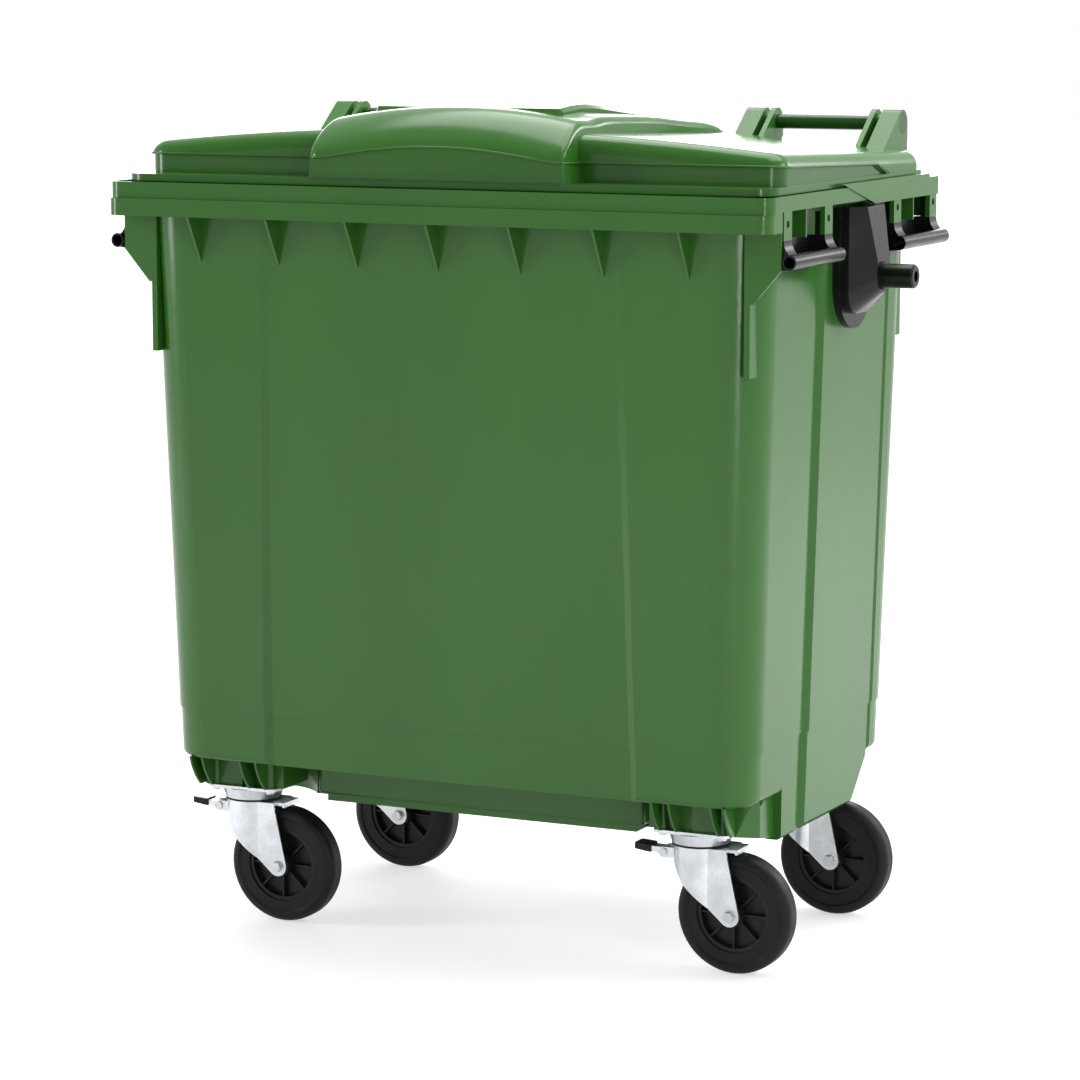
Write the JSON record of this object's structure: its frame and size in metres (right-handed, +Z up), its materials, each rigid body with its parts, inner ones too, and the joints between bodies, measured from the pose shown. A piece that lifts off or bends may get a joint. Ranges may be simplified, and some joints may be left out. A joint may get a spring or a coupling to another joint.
{
  "type": "wheeled waste container",
  "caption": "Large tapered plastic waste container on swivel castors, with a hinged hooded lid, comb lifting rim, side lifting pins and grips.",
  "frame": {"origin": "on the floor, under the middle of the overall size in X and Y", "axes": "+X to the right seen from the front, along the lifting pins; +Y from the comb rim in front to the lid hinge at the back; +Z up"},
  "size_m": [1.37, 0.769, 1.4096],
  "materials": {
    "green_body": "satin moulded polyethylene",
    "green_lid": "satin moulded polyethylene",
    "green_trim": "satin moulded polyethylene",
    "black_plastic": "satin",
    "wheel_plastic": "satin",
    "tyre_rubber": "matt",
    "seal_rubber": "matt",
    "zinc_steel": "bright zinc plate",
    "zinc_bolts": "bright zinc plate",
    "screw_black": "black"
  },
  "bodies": {
    "container": {"container_body": "green_body", "hinge_tube_left": "green_trim", "hinge_tube_right": "green_trim", "trunnion_plate_left": "black_plastic", "trunnion_plate_right": "black_plastic", "trunnion_pin_left": "black_plastic", "trunnion_pin_right": "black_plastic", "trunnion_bolts": "zinc_bolts", "handle_left_front": "black_plastic", "handle_left_rear": "black_plastic", "handle_right_front": "black_plastic", "handle_right_rear": "black_plastic", "handle_screws": "screw_black", "mounting_plate_front_left": "zinc_steel", "plate_bolts_front_left": "zinc_bolts", "kingpin_front_left": "zinc_bolts", "swivel_seal_front_left": "seal_rubber", "mounting_plate_front_right": "zinc_steel", "plate_bolts_front_right": "zinc_bolts", "kingpin_front_right": "zinc_bolts", "swivel_seal_front_right": "seal_rubber", "mounting_plate_rear_left": "zinc_steel", "plate_bolts_rear_left": "zinc_bolts", "kingpin_rear_left": "zinc_bolts", "swivel_seal_rear_left": "seal_rubber", "mounting_plate_rear_right": "zinc_steel", "plate_bolts_rear_right": "zinc_bolts", "kingpin_rear_right": "zinc_bolts", "swivel_seal_rear_right": "seal_rubber"},
    "lid": {"lid": "green_lid", "hinge_caps": "green_trim"},
    "drain": {"drain_plug": "black_plastic", "drain_seal": "seal_rubber"},
    "castor_front_left": {"fork_front_left": "zinc_steel", "axle_bolt_front_left": "zinc_bolts", "axle_sleeve_front_left": "zinc_bolts", "brake_pivot_front_left": "zinc_bolts"},
    "wheel_front_left": {"wheel_rim_front_left": "wheel_plastic", "tyre_front_left": "tyre_rubber"},
    "castor_front_right": {"fork_front_right": "zinc_steel", "axle_bolt_front_right": "zinc_bolts", "axle_sleeve_front_right": "zinc_bolts", "brake_pivot_front_right": "zinc_bolts"},
    "wheel_front_right": {"wheel_rim_front_right": "wheel_plastic", "tyre_front_right": "tyre_rubber"},
    "castor_rear_left": {"fork_rear_left": "zinc_steel", "axle_bolt_rear_left": "zinc_bolts", "axle_sleeve_rear_left": "zinc_bolts"},
    "wheel_rear_left": {"wheel_rim_rear_left": "wheel_plastic", "tyre_rear_left": "tyre_rubber"},
    "castor_rear_right": {"fork_rear_right": "zinc_steel", "axle_bolt_rear_right": "zinc_bolts", "axle_sleeve_rear_right": "zinc_bolts"},
    "wheel_rear_right": {"wheel_rim_rear_right": "wheel_plastic", "tyre_rear_right": "tyre_rubber"},
    "brake_front_left": {"brake_lever_front_left": "zinc_steel", "brake_pedal_front_left": "black_plastic"},
    "brake_front_right": {"brake_lever_front_right": "zinc_steel", "brake_pedal_front_right": "black_plastic"}
  },
  "joints": [
    {"name": "lid_hinge", "type": "hinge", "parent": "container", "child": "lid", "pos_m": [0, 0.35, 1.368], "axis": [-1, 0, 0], "range_deg": [0, 245]},
    {"name": "drain_turn", "type": "hinge", "parent": "container", "child": "drain", "pos_m": [0, 0.12, 0.208], "axis": [0, 0, 1], "range_deg": [0, 90]},
    {"name": "swivel_front_left", "type": "hinge", "parent": "container", "child": "castor_front_left", "pos_m": [-0.421, -0.217, 0.21], "axis": [0, 0, 1], "continuous": true},
    {"name": "wheel_spin_front_left", "type": "hinge", "parent": "castor_front_left", "child": "wheel_front_left", "pos_m": [-0.356, -0.217, 0.1], "axis": [0, 1, 0], "continuous": true},
    {"name": "swivel_front_right", "type": "hinge", "parent": "container", "child": "castor_front_right", "pos_m": [0.421, -0.217, 0.21], "axis": [0, 0, 1], "continuous": true},
    {"name": "wheel_spin_front_right", "type": "hinge", "parent": "castor_front_right", "child": "wheel_front_right", "pos_m": [0.486, -0.217, 0.1], "axis": [0, 1, 0], "continuous": true},
    {"name": "swivel_rear_left", "type": "hinge", "parent": "container", "child": "castor_rear_left", "pos_m": [-0.421, 0.235, 0.21], "axis": [0, 0, 1], "continuous": true},
    {"name": "wheel_spin_rear_left", "type": "hinge", "parent": "castor_rear_left", "child": "wheel_rear_left", "pos_m": [-0.356, 0.235, 0.1], "axis": [0, 1, 0], "continuous": true},
    {"name": "swivel_rear_right", "type": "hinge", "parent": "container", "child": "castor_rear_right", "pos_m": [0.421, 0.235, 0.21], "axis": [0, 0, 1], "continuous": true},
    {"name": "wheel_spin_rear_right", "type": "hinge", "parent": "castor_rear_right", "child": "wheel_rear_right", "pos_m": [0.486, 0.235, 0.1], "axis": [0, 1, 0], "continuous": true},
    {"name": "brake_front_left", "type": "hinge", "parent": "castor_front_left", "child": "brake_front_left", "pos_m": [-0.482, -0.217, 0.192], "axis": [0, -1, 0], "range_deg": [0, 12]},
    {"name": "brake_front_right", "type": "hinge", "parent": "castor_front_right", "child": "brake_front_right", "pos_m": [0.36, -0.217, 0.192], "axis": [0, -1, 0], "range_deg": [0, 12]}
  ]
}
